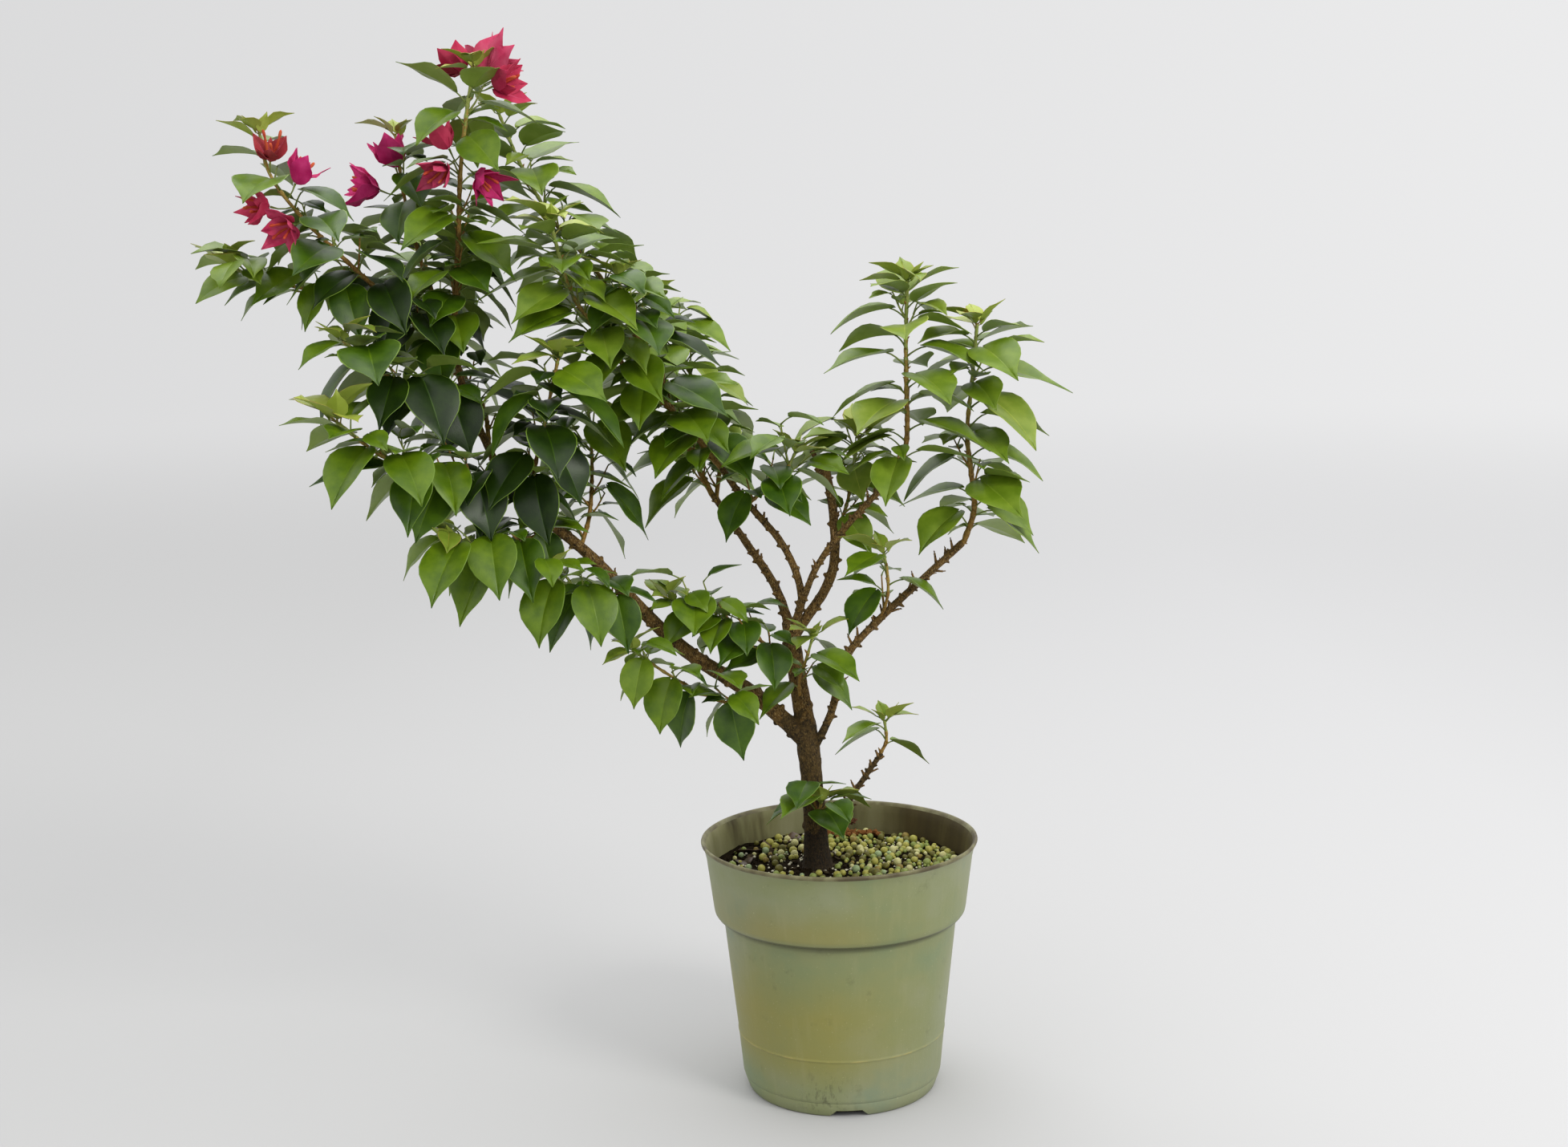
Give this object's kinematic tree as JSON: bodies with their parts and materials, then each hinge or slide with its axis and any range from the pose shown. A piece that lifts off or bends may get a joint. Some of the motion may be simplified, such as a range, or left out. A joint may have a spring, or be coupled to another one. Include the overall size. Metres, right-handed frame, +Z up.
{
  "type": "potted bougainvillea bush",
  "caption": "Young leaning bush with a woody fork, leafy shoots and a few magenta blooms, rooted in a round tapered nursery pot.",
  "frame": {"origin": "centre of the flat underside of the pot, on the surface it stands on", "axes": "+Z up, -X the side the bush leans to, -Y the side its leaves face"},
  "size_m": [0.4895, 0.2515, 0.6242],
  "materials": {
    "pot": "weathered grey-green",
    "soil": "rough peat and bark mix",
    "bark": "rough brown bark",
    "foliage": "smooth leaves with a soft sheen"
  },
  "bodies": {
    "root": {"pot": "pot", "soil": "soil", "trunk": "bark", "bough_left": "bark", "bough_leader": "bark", "bough_stub": "bark", "bough_middle": "bark", "bough_back": "bark", "bough_upright": "bark", "bough_right": "bark", "twig_foot": "bark", "foliage_top": "foliage", "foliage_inner": "foliage", "foliage_left": "foliage", "foliage_far_left": "foliage", "foliage_flank": "foliage", "foliage_front": "foliage", "foliage_low": "foliage", "foliage_drop": "foliage", "foliage_middle": "foliage", "foliage_elbow": "foliage", "foliage_inward": "foliage", "foliage_back": "foliage", "foliage_outer": "foliage", "foliage_rear": "foliage", "foliage_under": "foliage", "foliage_bough": "foliage", "foliage_bough_low": "foliage", "foliage_crotch": "foliage", "foliage_trunk": "foliage", "foliage_fork": "foliage", "foliage_stub": "foliage", "foliage_upright": "foliage", "foliage_right": "foliage", "foliage_foot": "foliage", "foliage_foot_right": "foliage"}
  },
  "joints": []
}
